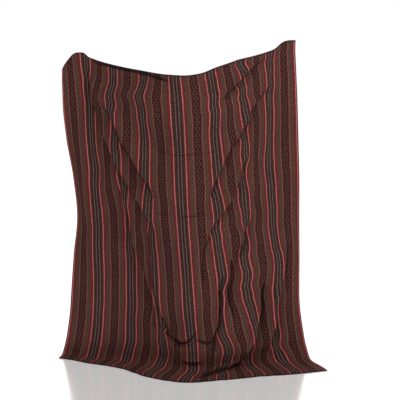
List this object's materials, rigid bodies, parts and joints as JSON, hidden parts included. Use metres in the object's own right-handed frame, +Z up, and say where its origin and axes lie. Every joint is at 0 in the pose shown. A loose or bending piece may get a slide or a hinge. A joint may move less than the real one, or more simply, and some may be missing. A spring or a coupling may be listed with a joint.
{
  "type": "striped cotton blanket",
  "caption": "Woven cotton blanket held along its top edge, draped in slanting swags and narrow creases, with its foot lying forward on the floor.",
  "frame": {"origin": "middle of the top edge, where the cloth is held", "axes": "+Z up along the hanging cloth, +X across it, -Y out of its patterned face"},
  "size_m": [1.4755, 0.4788, 1.759],
  "materials": {
    "striped_cotton": "soft matt warp-striped weave in maroon, olive grey and salmon"
  },
  "bodies": {
    "root": {"blanket": "striped_cotton"}
  },
  "joints": []
}
